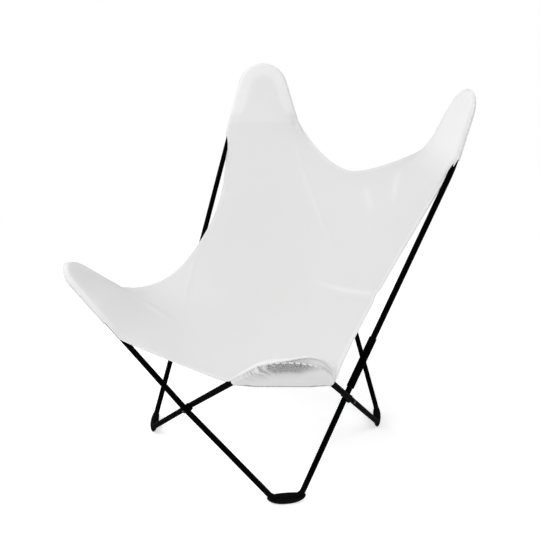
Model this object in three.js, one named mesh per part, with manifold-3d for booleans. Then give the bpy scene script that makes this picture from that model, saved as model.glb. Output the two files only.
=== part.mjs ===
// Butterfly sling chair: two bent rod loops that cross four times, knocked down at four sleeves,
// with a sewn canvas sling whose corner pockets slip over the four rod peaks.
// Millimetres, +Z up. The sitter faces -Y. The origin is on the floor, below the middle of the chair's
// depth and in the plane that parts its left half from its right.
import * as THREE from 'three';
import { mergeVertices } from 'three/addons/utils/BufferGeometryUtils.js';
import Module from 'manifold-3d';

const wasm = await Module();
wasm.setup();

// Rod and its bends, all on the centre line
const rodDiameter = 14;
const hoopRadius = 60;
const footBendRadius = 22;
const crossBendRadius = 150;

// Feet: the level run of rod that each shoe covers
const frontFootX = 240;
const frontFootY = 232;
const backFootX = 210;
const backFootY = 197;
const footRunLength = 70;
const frontFootTurn = 48;
const backFootTurn = 54;

// Peaks: the points where the straight legs of a hoop would meet above its bend
const frontPeakX = 411;
const frontPeakY = 426;
const frontPeakZ = 560;
const backPeakX = 400;
const backPeakY = 396;
const backPeakZ = 1062;

// Back hoops bend towards the sitter below their tops
const earLength = 360;
const earInward = 35;
const earForward = 40;
const earBendRadius = 300;

// Rod crossings: a saddle spacer between the rods, a bolt through both
const spacerThickness = 4;
const spacerDiameter = 20;
const saddleDepth = 3;
const boltDiameter = 5;
const boltHeadDiameter = 9.5;
const boltHeadHeight = 2.8;
const boltHeadRim = 1.2;
const nutWidth = 8;
const nutHeight = 4;
const boltTail = 1;

// Coupling sleeves over the butt joints of the rods
const sleeveLength = 130;
const sleeveWall = 2;
const sleeveRise = 25;
const sleeveChamfer = 0.8;
const rodJointGap = 0.6;

// Shoes under the feet
const shoeLength = 94;
const shoeWidth = 21;
const shoeLip = 3;
const soleThickness = 12;
const soleShare = 0.5;

// Canvas sling
const clothThickness = 1.5;
const frontPocketDepth = 190;
const backPocketDepth = 200;
const topEdgeForward = 19;
const topEdgeDrop = 92;
const topEdgeFlatness = 2;
const frontEdgeDrop = 55;
const frontEdgeBack = 20;
const frontEdgeFlatness = 6;
const sideEdgeInward = 52;
const sideEdgeBack = 23;
const sideEdgeDrop = 129;
const sideEdgeSkew = 0.1;
const sideEdgeFlatness = 2;
const seatHang = 140;
const creaseDepth = 7;
const creaseSpread = 0.06;
const foldDepth = 5;
const foldCount = 7;
const foldPlace = 0.75;
const foldSpread = 0.12;

// Clearances between pieces
const fitGap = 0.3;
const boltGap = 0.3;
const clothEase = 1.5;

// Mesh fineness
const rodSides = 10;
const roundSides = 12;
const bendStep = 15;
const clothColumns = 24;
const pocketColumns = 6;
const seatRows = 16;
const backRows = 16;
const pocketRows = 12;
const wrapSteps = 5;
const shoeRings = 10;
const headSteps = 3;
const tangentReach = 1;
const relaxPasses = 240;
const relaxPull = 1.8;
const netDrop = 0.42;

const rodRadius = rodDiameter / 2;
const footHeight = soleThickness + rodRadius;
const crossDistance = rodDiameter + spacerThickness;
const clothOffset = rodRadius + clothEase + clothThickness / 2;

const right = 1;
const left = -1;
const vec = (x, y, z) => new THREE.Vector3(x, y, z);
const towards = (from, to) => to.clone().sub(from).normalize();
const along = (from, direction, distance) => from.clone().addScaledVector(direction, distance);
const mix = (from, to, share) => from.clone().lerp(to, share);

const frameFinish = { color: 0x141415, roughness: 0.45, metalness: 0.3 };
const shoeFinish = { color: 0x0d0d0e, roughness: 0.6, metalness: 0 };
const boltFinish = { color: 0x1a1a1b, roughness: 0.4, metalness: 0.8 };
const clothFinish = { color: 0xe1e1df, roughness: 0.9, metalness: 0 };

const chair = new THREE.Group();

function addPiece(name, geometry, finish) {
  const piece = new THREE.Mesh(geometry, new THREE.MeshStandardMaterial(finish));
  piece.name = name;
  chair.add(piece);
}

// Moves a geometry made along +Y so that it starts at a point and runs along a direction
function setAlong(geometry, start, direction) {
  const turn = new THREE.Quaternion().setFromUnitVectors(vec(0, 1, 0), direction);
  return geometry.applyQuaternion(turn).translate(start.x, start.y, start.z);
}

function toSolid(geometry) {
  const bare = geometry.clone();
  bare.deleteAttribute('normal');
  bare.deleteAttribute('uv');
  const merged = mergeVertices(bare, 1e-4);
  const vertProperties = new Float32Array(merged.attributes.position.array);
  const triVerts = new Uint32Array(merged.index.array);
  return new wasm.Manifold(new wasm.Mesh({ numProp: 3, vertProperties, triVerts }));
}

function toGeometry(solid) {
  const mesh = solid.getMesh();
  const geometry = new THREE.BufferGeometry();
  geometry.setAttribute('position', new THREE.BufferAttribute(mesh.vertProperties, 3));
  geometry.setIndex(new THREE.BufferAttribute(mesh.triVerts, 1));
  geometry.computeVertexNormals();
  return geometry;
}

// A bent rod's centre line: straight runs between corners, each corner rounded to its own radius
class RodPath extends THREE.Curve {
  constructor(corners) {
    super();
    this.stations = [];
    this.tangents = [];
    const last = corners.length - 1;
    this.addStation(corners[0].at, towards(corners[0].at, corners[1].at));
    for (let i = 1; i < last; i += 1) {
      this.addBend(corners[i - 1].at, corners[i], corners[i + 1].at);
    }
    this.addStation(corners[last].at, towards(corners[last - 1].at, corners[last].at));
  }

  addStation(point, tangent) {
    this.stations.push(point.clone());
    this.tangents.push(tangent.clone());
  }

  addBend(before, corner, after) {
    const arriving = towards(before, corner.at);
    const leaving = towards(corner.at, after);
    const angle = arriving.angleTo(leaving);
    const inset = corner.radius * Math.tan(angle / 2);
    const bendStart = along(corner.at, arriving, -inset);
    const inward = leaving.clone().addScaledVector(arriving, -leaving.dot(arriving)).normalize();
    const steps = Math.max(2, Math.ceil(THREE.MathUtils.radToDeg(angle) / bendStep));
    for (let step = 0; step <= steps; step += 1) {
      const turned = (angle * step) / steps;
      const point = along(bendStart, arriving, corner.radius * Math.sin(turned));
      point.addScaledVector(inward, corner.radius * (1 - Math.cos(turned)));
      const tangent = arriving.clone().multiplyScalar(Math.cos(turned));
      this.addStation(point, tangent.addScaledVector(inward, Math.sin(turned)));
    }
  }

  get steps() {
    return this.stations.length - 1;
  }

  getPointAt(share) {
    return this.stations[Math.round(share * this.steps)].clone();
  }

  getTangentAt(share) {
    return this.tangents[Math.round(share * this.steps)].clone();
  }
}

function sweepRound(corners, radius, sides) {
  const outline = [];
  for (let side = 0; side < sides; side += 1) {
    const angle = (2 * Math.PI * side) / sides;
    outline.push(new THREE.Vector2(radius * Math.cos(angle), radius * Math.sin(angle)));
  }
  const path = new RodPath(corners);
  return new THREE.ExtrudeGeometry(new THREE.Shape(outline), { steps: path.steps, extrudePath: path });
}

// Frame skeleton

// The two bends of a foot: one leads to the rod on the chair's side, one to its front or back rod
function footCorner(side, isFront, leadsToSide) {
  const turn = THREE.MathUtils.degToRad(isFront ? frontFootTurn : backFootTurn);
  const outY = isFront ? -1 : 1;
  const centre = isFront ? vec(side * frontFootX, -frontFootY, footHeight)
    : vec(side * backFootX, backFootY, footHeight);
  const run = vec(-side * Math.cos(turn), outY * Math.sin(turn), 0);
  return along(centre, run, (leadsToSide ? -0.5 : 0.5) * footRunLength);
}

function peakCorner(side, isFront) {
  return isFront ? vec(side * frontPeakX, -frontPeakY, frontPeakZ)
    : vec(side * backPeakX, backPeakY, backPeakZ);
}

// Where two straight rods pass each other: the middle between them and the direction across both
function crossing(startA, endA, startB, endB, outward) {
  const lineA = towards(startA, endA);
  const lineB = towards(startB, endB);
  const across = lineA.clone().cross(lineB).normalize();
  if (across.dot(outward) < 0) across.negate();
  const between = startB.clone().sub(startA);
  const cosine = lineA.dot(lineB);
  const spread = 1 - cosine * cosine;
  const runA = (between.dot(lineA) - cosine * between.dot(lineB)) / spread;
  const runB = (cosine * between.dot(lineA) - between.dot(lineB)) / spread;
  const middle = mix(along(startA, lineA, runA), along(startB, lineB, runB), 0.5);
  return {
    across,
    outer: along(middle, across, crossDistance / 2),
    inner: along(middle, across, -crossDistance / 2),
  };
}

const crossings = {
  front: crossing(footCorner(right, true, false), peakCorner(left, true),
    footCorner(left, true, false), peakCorner(right, true), vec(0, -1, 0)),
  back: crossing(footCorner(right, false, false), peakCorner(left, false),
    footCorner(left, false, false), peakCorner(right, false), vec(0, 1, 0)),
};
for (const [name, side] of [['right', right], ['left', left]]) {
  crossings[name] = crossing(footCorner(side, true, true), peakCorner(side, false),
    footCorner(side, false, true), peakCorner(side, true), vec(side, 0, 0));
}
const sideName = (side) => (side === right ? 'right' : 'left');

// A loop stands on the front foot of its own side. Low rods pass outside the tall ones at the sides.
// At the front the right loop passes outside, at the back the left one.
function loopOf(side) {
  const own = crossings[sideName(side)];
  const other = crossings[sideName(-side)];
  const frontCross = side === right ? crossings.front.outer : crossings.front.inner;
  const backCross = side === right ? crossings.back.inner : crossings.back.outer;
  const peak = peakCorner(side, false);
  const sideUp = towards(own.inner, peak);
  const backUp = towards(backCross, peak);
  const ear = peak.clone().add(vec(-side * earInward, -earForward, 0));
  return {
    sideCross: own.inner, lowCross: other.outer, frontCross, backCross, sideUp, backUp, ear,
    sideEar: along(peak, sideUp, -earLength), backEar: along(peak, backUp, -earLength),
  };
}
const loops = { [right]: loopOf(right), [left]: loopOf(left) };
const jointRise = sleeveRise + sleeveLength / 2;
const bend = (at, radius) => ({ at, radius });

function lowerRodCorners(side) {
  const loop = loops[side];
  const end = jointRise - rodJointGap / 2;
  return [
    bend(along(loop.sideCross, loop.sideUp, end)),
    bend(loop.sideCross, crossBendRadius),
    bend(footCorner(side, true, true), footBendRadius),
    bend(footCorner(side, true, false), footBendRadius),
    bend(loop.frontCross, crossBendRadius),
    bend(peakCorner(-side, true), hoopRadius),
    bend(loop.lowCross, crossBendRadius),
    bend(footCorner(-side, false, true), footBendRadius),
    bend(footCorner(-side, false, false), footBendRadius),
    bend(loop.backCross, crossBendRadius),
    bend(along(loop.backCross, loop.backUp, end)),
  ];
}

function backHoopCorners(side) {
  const loop = loops[side];
  const start = jointRise + rodJointGap / 2;
  return [
    bend(along(loop.sideCross, loop.sideUp, start)),
    bend(loop.sideEar, earBendRadius),
    bend(loop.ear, hoopRadius),
    bend(loop.backEar, earBendRadius),
    bend(along(loop.backCross, loop.backUp, start)),
  ];
}

function boltHole(cross) {
  const reach = crossDistance / 2 + rodDiameter;
  const hole = new THREE.CylinderGeometry(boltDiameter / 2 + boltGap, boltDiameter / 2 + boltGap,
    2 * reach, roundSides);
  const middle = mix(cross.outer, cross.inner, 0.5);
  return toSolid(setAlong(hole, middle, cross.across));
}

// The space that each lower rod needs in the pieces round it
const rodSpace = {};
for (const side of [right, left]) {
  const radius = (rodRadius + fitGap) / Math.cos(Math.PI / rodSides);
  rodSpace[side] = toSolid(sweepRound(lowerRodCorners(side), radius, rodSides));
}

for (const side of [right, left]) {
  let rod = toSolid(sweepRound(lowerRodCorners(side), rodRadius, rodSides));
  for (const cross of Object.values(crossings)) {
    rod = rod.subtract(boltHole(cross));
  }
  const hoop = sweepRound(backHoopCorners(side), rodRadius, rodSides);
  addPiece(`${sideName(side)}_lower_rod`, toGeometry(rod), frameFinish);
  addPiece(`${sideName(side)}_back_hoop`, hoop, frameFinish);
}

// Coupling sleeves: each hides the butt joint between a lower rod and a back hoop
function sleeveGeometry() {
  const bore = rodRadius + fitGap;
  const outside = bore + sleeveWall;
  const profile = [
    new THREE.Vector2(bore, 0),
    new THREE.Vector2(outside - sleeveChamfer, 0),
    new THREE.Vector2(outside, sleeveChamfer),
    new THREE.Vector2(outside, sleeveLength - sleeveChamfer),
    new THREE.Vector2(outside - sleeveChamfer, sleeveLength),
    new THREE.Vector2(bore, sleeveLength),
    new THREE.Vector2(bore, 0),
  ];
  return new THREE.LatheGeometry(profile, roundSides);
}

for (const side of [right, left]) {
  const { sideCross, sideUp, backCross, backUp } = loops[side];
  const sideSleeve = setAlong(sleeveGeometry(), along(sideCross, sideUp, sleeveRise), sideUp);
  const backSleeve = setAlong(sleeveGeometry(), along(backCross, backUp, sleeveRise), backUp);
  addPiece(`${sideName(side)}_side_sleeve`, sideSleeve, frameFinish);
  addPiece(`${sideName(side)}_back_sleeve`, backSleeve, frameFinish);
}

// Crossing hardware: the bolt's head and its nut seat on the far sides of the two rods
const hardwareSeat = crossDistance / 2 + rodRadius + fitGap;

// The bolt runs outwards along +Y from its tail to its domed head
function boltGeometry() {
  const shank = boltDiameter / 2;
  const headRadius = boltHeadDiameter / 2;
  const tail = -hardwareSeat - nutHeight - boltTail;
  const profile = [
    new THREE.Vector2(0, tail),
    new THREE.Vector2(shank, tail),
    new THREE.Vector2(shank, hardwareSeat),
    new THREE.Vector2(headRadius, hardwareSeat),
  ];
  for (let step = 0; step < headSteps; step += 1) {
    const angle = (Math.PI * step) / (2 * headSteps);
    const rise = boltHeadRim + (boltHeadHeight - boltHeadRim) * Math.sin(angle);
    profile.push(new THREE.Vector2(headRadius * Math.cos(angle), hardwareSeat + rise));
  }
  profile.push(new THREE.Vector2(0, hardwareSeat + boltHeadHeight));
  return new THREE.LatheGeometry(profile, roundSides);
}

function nutGeometry() {
  const outline = new THREE.Shape();
  const corner = nutWidth / Math.sqrt(3);
  for (let i = 0; i < 6; i += 1) {
    const angle = (Math.PI * i) / 3;
    outline[i === 0 ? 'moveTo' : 'lineTo'](corner * Math.cos(angle), corner * Math.sin(angle));
  }
  const bore = new THREE.Path();
  bore.absarc(0, 0, boltDiameter / 2 + boltGap, 0, 2 * Math.PI, true);
  outline.holes.push(bore);
  const options = { depth: nutHeight, bevelEnabled: false, curveSegments: roundSides / 2 };
  const nut = new THREE.ExtrudeGeometry(outline, options);
  return nut.rotateX(Math.PI / 2).translate(0, -hardwareSeat, 0);
}

// The spacer's ends are saddles that fit round both rods
function spacerGeometry(cross) {
  const length = spacerThickness + 2 * saddleDepth;
  const middle = mix(cross.outer, cross.inner, 0.5);
  const blank = new THREE.CylinderGeometry(spacerDiameter / 2, spacerDiameter / 2, length, roundSides);
  let spacer = toSolid(setAlong(blank, middle, cross.across));
  for (const cut of [rodSpace[right], rodSpace[left], boltHole(cross)]) {
    spacer = spacer.subtract(cut);
  }
  return toGeometry(spacer);
}

for (const [name, cross] of Object.entries(crossings)) {
  const middle = mix(cross.outer, cross.inner, 0.5);
  addPiece(`${name}_bolt`, setAlong(boltGeometry(), middle, cross.across), boltFinish);
  addPiece(`${name}_nut`, setAlong(nutGeometry(), middle, cross.across), boltFinish);
  addPiece(`${name}_spacer`, spacerGeometry(cross), shoeFinish);
}

// Shoes: a boat with a flat sole that cradles the level run of each foot
function shoeGeometry(side, isFront) {
  const sideBend = footCorner(side, isFront, true);
  const crossBend = footCorner(side, isFront, false);
  const run = towards(sideBend, crossBend);
  const middle = mix(sideBend, crossBend, 0.5);
  const keel = footHeight / Math.sqrt(1 - soleShare ** 2);
  const hull = new THREE.SphereGeometry(1, 2 * shoeRings, shoeRings);
  hull.scale(shoeLength / 2, keel, shoeWidth / 2).rotateX(Math.PI / 2).translate(0, 0, footHeight);
  const height = footHeight + shoeLip;
  const slab = new THREE.BoxGeometry(2 * shoeLength, 2 * shoeLength, height).translate(0, 0, height / 2);
  const boat = toGeometry(toSolid(hull).intersect(toSolid(slab)));
  boat.rotateZ(Math.atan2(run.y, run.x)).translate(middle.x, middle.y, 0);
  return toGeometry(toSolid(boat).subtract(rodSpace[isFront ? side : -side]));
}

for (const side of [right, left]) {
  addPiece(`front_${sideName(side)}_shoe`, shoeGeometry(side, true), shoeFinish);
  addPiece(`back_${sideName(side)}_shoe`, shoeGeometry(side, false), shoeFinish);
}

// Hoops as the sling sees them: distance 0 is the peak, minus runs down the side leg, plus down the other
class Hoop {
  constructor(side, isFront) {
    const corners = isFront ? this.frontCorners(side) : backHoopCorners(side);
    const path = new RodPath(corners);
    const peak = corners[(corners.length - 1) / 2].at;
    this.stations = path.stations;
    this.distances = [0];
    for (let i = 1; i < this.stations.length; i += 1) {
      this.distances.push(this.distances[i - 1] + this.stations[i].distanceTo(this.stations[i - 1]));
    }
    const reach = this.stations.map((point) => point.distanceTo(peak));
    this.origin = this.distances[reach.indexOf(Math.min(...reach))];
    const depth = isFront ? frontPocketDepth : backPocketDepth;
    const tip = this.at(0);
    const sideArm = this.at(-depth).sub(tip);
    const crossArm = this.at(depth).sub(tip);
    this.facing = sideArm.clone().cross(crossArm).normalize();
    this.middle = along(tip, sideArm.add(crossArm), 0.5);
    const sitter = vec(0, 0, backPeakZ);
    if (this.facing.dot(sitter.sub(tip)) < 0) this.facing.negate();
  }

  frontCorners(side) {
    const corners = lowerRodCorners(-side);
    return [corners[6], corners[5], corners[4]];
  }

  at(distance) {
    const target = this.origin + distance;
    const last = this.distances.length - 2;
    const found = this.distances.findIndex((value, i) => i > 0 && value >= target) - 1;
    const i = found < 0 ? last : found;
    const share = (target - this.distances[i]) / (this.distances[i + 1] - this.distances[i]);
    return mix(this.stations[i], this.stations[i + 1], share);
  }

  // Direction out of the loop, square to the rod, in the plane of the hoop
  outwardAt(distance) {
    const tangent = towards(this.at(distance - tangentReach), this.at(distance + tangentReach));
    const outward = tangent.cross(this.facing).normalize();
    if (outward.dot(this.at(distance).sub(this.middle)) < 0) outward.negate();
    return outward;
  }

  // The cloth round the rod: turn 0 is the sitter's side, 90 the outside, 180 the back
  clothAt(distance, turn) {
    const angle = THREE.MathUtils.degToRad(turn);
    const point = along(this.at(distance), this.facing, clothOffset * Math.cos(angle));
    return point.addScaledVector(this.outwardAt(distance), clothOffset * Math.sin(angle));
  }
}

const hoops = {
  front: { [right]: new Hoop(right, true), [left]: new Hoop(left, true) },
  back: { [right]: new Hoop(right, false), [left]: new Hoop(left, false) },
};

// Turns a sheet of triangles into a closed solid of the cloth's thickness
function thicken(points, triangles) {
  const normals = points.map(() => vec(0, 0, 0));
  const open = new Map();
  for (const [a, b, c] of triangles) {
    const normal = points[b].clone().sub(points[a]).cross(points[c].clone().sub(points[a]));
    for (const [from, to] of [[a, b], [b, c], [c, a]]) {
      normals[from].add(normal);
      if (!open.delete(`${to} ${from}`)) open.set(`${from} ${to}`, [from, to]);
    }
  }
  const positions = [];
  for (const half of [0.5, -0.5]) {
    points.forEach((point, i) => {
      positions.push(...along(point, normals[i].clone().normalize(), half * clothThickness));
    });
  }
  const index = [];
  const under = points.length;
  for (const [a, b, c] of triangles) {
    index.push(a, b, c, under + a, under + c, under + b);
  }
  for (const [from, to] of open.values()) {
    index.push(to, from, under + from, to, under + from, under + to);
  }
  const geometry = new THREE.BufferGeometry();
  geometry.setAttribute('position', new THREE.Float32BufferAttribute(positions, 3));
  geometry.setIndex(index);
  geometry.computeVertexNormals();
  return geometry;
}

// Free edges of the sling, hanging between two pocket mouths
function hangingEdge(start, end, sag, flatness, skew, share) {
  const weight = 1 - Math.abs(2 * share - 1) ** flatness;
  return along(mix(start, end, share), sag, weight * (1 + skew * (1 - 2 * share)));
}

const sitterTurn = 0;
const backTurn = 180;
const slingRows = seatRows + backRows;

function crossEdge(isFront, column) {
  const pair = isFront ? hoops.front : hoops.back;
  const depth = isFront ? frontPocketDepth : backPocketDepth;
  const edgeAt = (side, distance) => pair[side].clothAt(distance, sitterTurn);
  if (column <= pocketColumns) return edgeAt(left, (depth * column) / pocketColumns);
  const fromRight = clothColumns - column;
  if (fromRight <= pocketColumns) return edgeAt(right, (depth * fromRight) / pocketColumns);
  const share = (column - pocketColumns) / (clothColumns - 2 * pocketColumns);
  const sag = isFront ? vec(0, frontEdgeBack, -frontEdgeDrop) : vec(0, -topEdgeForward, -topEdgeDrop);
  const flatness = isFront ? frontEdgeFlatness : topEdgeFlatness;
  return hangingEdge(edgeAt(left, depth), edgeAt(right, depth), sag, flatness, 0, share);
}

function sideEdge(side, row) {
  const frontAt = (distance) => hoops.front[side].clothAt(-distance, sitterTurn);
  const backAt = (distance) => hoops.back[side].clothAt(-distance, sitterTurn);
  if (row <= pocketColumns) return frontAt((frontPocketDepth * row) / pocketColumns);
  const fromBack = slingRows - row;
  if (fromBack <= pocketColumns) return backAt((backPocketDepth * fromBack) / pocketColumns);
  const share = (row - pocketColumns) / (slingRows - 2 * pocketColumns);
  const sag = vec(-side * sideEdgeInward, sideEdgeBack, -sideEdgeDrop);
  return hangingEdge(frontAt(frontPocketDepth), backAt(backPocketDepth), sag, sideEdgeFlatness, sideEdgeSkew, share);
}

const bump = (value, centre, width) => Math.exp(-(((value - centre) / width) ** 2));
const ease = (value) => value * value * (3 - 2 * value);

// A first guess at the sling from its four edges alone
function spannedPoint(column, row) {
  const toRight = ease(column / clothColumns);
  const toBack = ease(row / slingRows);
  const point = mix(crossEdge(true, column), crossEdge(false, column), toBack);
  point.add(mix(sideEdge(left, row), sideEdge(right, row), toRight));
  const frontLine = mix(crossEdge(true, 0), crossEdge(true, clothColumns), toRight);
  const backLine = mix(crossEdge(false, 0), crossEdge(false, clothColumns), toRight);
  return point.sub(mix(frontLine, backLine, toBack));
}

// The sling as a net: its edges are held, and every inner point hangs a little below its four neighbours
function relaxedNet() {
  const net = [];
  for (let row = 0; row <= slingRows; row += 1) {
    net.push([]);
    for (let column = 0; column <= clothColumns; column += 1) {
      net[row].push(spannedPoint(column, row));
    }
  }
  const cellDrop = seatHang / (netDrop * clothColumns ** 2);
  for (let pass = 0; pass < relaxPasses; pass += 1) {
    for (let row = 1; row < slingRows; row += 1) {
      for (let column = 1; column < clothColumns; column += 1) {
        const across = mix(net[row][column - 1], net[row][column + 1], 0.5);
        const lengthways = mix(net[row - 1][column], net[row + 1][column], 0.5);
        const rest = mix(across, lengthways, 0.5);
        rest.z -= cellDrop;
        net[row][column].lerp(rest, relaxPull);
      }
    }
  }
  return net;
}

const slingNet = relaxedNet();

// The net with the creases at the hips and the soft folds of the back
function slingPoint(column, row) {
  const u = column / clothColumns;
  const v = row / slingRows;
  const wing = Math.abs(2 * u - 1) * Math.sin(Math.PI * u);
  const crease = creaseDepth * wing * bump(v, seatRows / slingRows, creaseSpread);
  const fold = foldDepth * wing * bump(v, foldPlace, foldSpread) * Math.sin(foldCount * Math.PI * u);
  return slingNet[row][column].clone().add(vec(0, -fold, -crease));
}

// One panel of the sling, drawn back by half a gap along the seam row that both panels share
function panelGeometry(firstRow, lastRow) {
  const points = [];
  const triangles = [];
  const rows = lastRow - firstRow;
  for (let row = 0; row <= rows; row += 1) {
    for (let column = 0; column <= clothColumns; column += 1) {
      const point = slingPoint(column, firstRow + row);
      if (firstRow + row === seatRows) {
        const next = slingPoint(column, seatRows + (row === 0 ? 1 : -1));
        point.addScaledVector(towards(point, next), fitGap / 2);
      }
      points.push(point);
    }
  }
  const width = clothColumns + 1;
  for (let row = 0; row < rows; row += 1) {
    for (let column = 0; column < clothColumns; column += 1) {
      const a = row * width + column;
      const corners = [a, a + 1, a + 1 + width, a + width];
      const nearLeft = column < clothColumns / 2;
      const nearFront = firstRow + row < slingRows / 2;
      if (nearLeft !== nearFront) corners.push(corners.shift());
      triangles.push([corners[0], corners[1], corners[2]], [corners[0], corners[2], corners[3]]);
    }
  }
  return thicken(points, triangles);
}

addPiece('sling_seat_panel', panelGeometry(0, seatRows), clothFinish);
addPiece('sling_back_panel', panelGeometry(seatRows, slingRows), clothFinish);

// Pockets: the cloth wraps each hoop from the sling's edge round its outside, then spans the back of it
function pocketGeometry(hoop, depth) {
  const points = [];
  const triangles = [];
  const firstTurn = THREE.MathUtils.radToDeg(fitGap / clothOffset);
  const grid = [];
  const addPoint = (point) => points.push(point) - 1;
  for (let row = -pocketRows; row <= pocketRows; row += 1) {
    const distance = (depth * row) / pocketRows;
    const line = [];
    for (let step = 0; step <= wrapSteps; step += 1) {
      const turn = THREE.MathUtils.lerp(firstTurn, backTurn, step / wrapSteps);
      line.push(addPoint(hoop.clothAt(distance, turn)));
    }
    grid.push(line);
  }
  for (let level = 1; level <= pocketRows; level += 1) {
    const sideLine = grid[pocketRows - level];
    const crossLine = grid[pocketRows + level];
    const from = points[sideLine[wrapSteps]];
    const to = points[crossLine[wrapSteps]];
    const middle = addPoint(mix(from, to, 0.5));
    sideLine.push(addPoint(mix(from, to, 0.25)), middle);
    crossLine.push(addPoint(mix(to, from, 0.25)), middle);
  }
  const tip = grid[pocketRows];
  tip.push(tip[wrapSteps], tip[wrapSteps]);
  for (let row = 0; row < 2 * pocketRows; row += 1) {
    for (let step = 0; step < wrapSteps + 2; step += 1) {
      const [a, b] = [grid[row][step], grid[row + 1][step]];
      const [c, d] = [grid[row + 1][step + 1], grid[row][step + 1]];
      for (const triangle of [[a, b, c], [a, c, d]]) {
        if (new Set(triangle).size === triangle.length) triangles.push(triangle);
      }
    }
  }
  const [a, b, c] = triangles[0].map((i) => points[i]);
  const normal = b.clone().sub(a).cross(c.clone().sub(a));
  if (normal.dot(hoop.facing) < 0) triangles.forEach((triangle) => triangle.reverse());
  return thicken(points, triangles);
}

for (const side of [right, left]) {
  const frontPocket = pocketGeometry(hoops.front[side], frontPocketDepth);
  const backPocket = pocketGeometry(hoops.back[side], backPocketDepth);
  addPiece(`front_${sideName(side)}_pocket`, frontPocket, clothFinish);
  addPiece(`back_${sideName(side)}_pocket`, backPocket, clothFinish);
}

const middle = new THREE.Box3().setFromObject(chair).getCenter(vec(0, 0, 0));
chair.position.y = -middle.y;

export default chair;
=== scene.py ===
import math

import bmesh
import bpy
import numpy as np
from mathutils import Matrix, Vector


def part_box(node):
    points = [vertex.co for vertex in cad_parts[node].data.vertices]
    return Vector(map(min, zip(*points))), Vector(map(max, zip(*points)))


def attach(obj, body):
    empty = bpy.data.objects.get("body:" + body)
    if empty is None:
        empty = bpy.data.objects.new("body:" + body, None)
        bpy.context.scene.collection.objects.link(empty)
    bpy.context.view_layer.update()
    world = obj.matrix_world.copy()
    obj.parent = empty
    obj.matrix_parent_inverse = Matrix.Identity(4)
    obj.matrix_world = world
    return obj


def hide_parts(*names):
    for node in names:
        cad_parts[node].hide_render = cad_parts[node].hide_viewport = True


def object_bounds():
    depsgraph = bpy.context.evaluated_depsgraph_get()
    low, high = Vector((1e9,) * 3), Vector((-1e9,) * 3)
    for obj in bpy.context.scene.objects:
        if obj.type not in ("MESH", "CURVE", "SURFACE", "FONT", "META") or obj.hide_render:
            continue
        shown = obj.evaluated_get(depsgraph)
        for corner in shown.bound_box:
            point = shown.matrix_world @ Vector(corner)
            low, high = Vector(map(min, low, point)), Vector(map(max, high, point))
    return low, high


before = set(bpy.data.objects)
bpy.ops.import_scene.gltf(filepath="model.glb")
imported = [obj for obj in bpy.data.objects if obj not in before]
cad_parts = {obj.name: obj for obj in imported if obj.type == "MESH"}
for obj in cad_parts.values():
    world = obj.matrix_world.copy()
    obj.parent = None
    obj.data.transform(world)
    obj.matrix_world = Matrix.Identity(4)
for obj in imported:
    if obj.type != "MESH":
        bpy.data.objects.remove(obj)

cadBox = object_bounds()
scene = bpy.context.scene
scene.view_settings.view_transform = "Standard"
right, left = 1, -1
sideWord = {right: "right", left: "left"}
endWord = {True: "front", False: "back"}
rng = np.random.default_rng(7)
print("frame loaded:", len(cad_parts), "nodes")

camera = dict(azimuth=41.45, elevation=22.73, distance=1.9025, lens=49.05, target=(-0.0168, 0.0235, 0.4606))


def newObject(name, data):
    made = bpy.data.objects.new(name, data)
    scene.collection.objects.link(made)
    return made


def addCamera():
    azimuth, elevation = math.radians(camera["azimuth"]), math.radians(camera["elevation"])
    back = Vector((math.sin(azimuth) * math.cos(elevation),
                   -math.cos(azimuth) * math.cos(elevation),
                   math.sin(elevation)))
    lens = bpy.data.cameras.new("chair_camera")
    lens.lens = camera["lens"]
    holder = newObject("chair_camera", lens)
    holder.location = Vector(camera["target"]) + back * camera["distance"]
    holder.rotation_euler = back.to_track_quat("Z", "Y").to_euler()
    scene.camera = holder


addCamera()
print("camera set")


# Shader nodes

def sums(operation):  # a Math node for an operator and for its reflected form
    return (lambda wire, other: wire.maths(operation, wire, other),
            lambda wire, other: wire.maths(operation, other, wire))


class Wire:  # a socket that takes part in Python sums
    __add__, __radd__ = sums("ADD")
    __sub__, __rsub__ = sums("SUBTRACT")
    __mul__, __rmul__ = sums("MULTIPLY")
    __truediv__, __rtruediv__ = sums("DIVIDE")
    __mod__, __rmod__ = sums("MODULO")

    def __init__(self, finish, socket):
        self.finish = finish
        self.socket = socket

    def maths(self, operation, *values):
        return self.finish.wire("ShaderNodeMath", 0, dict(enumerate(values)), operation=operation)

    def __abs__(self):
        return self.maths("ABSOLUTE", self)

    def sine(self):
        return self.maths("SINE", self)

    def floor(self):
        return self.maths("FLOOR", self)

    def most(self, other):
        return self.maths("MAXIMUM", self, other)

    def clamped(self):  # kept from 0 to 1
        return self.maths("MINIMUM", self.most(0), 1)


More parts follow.
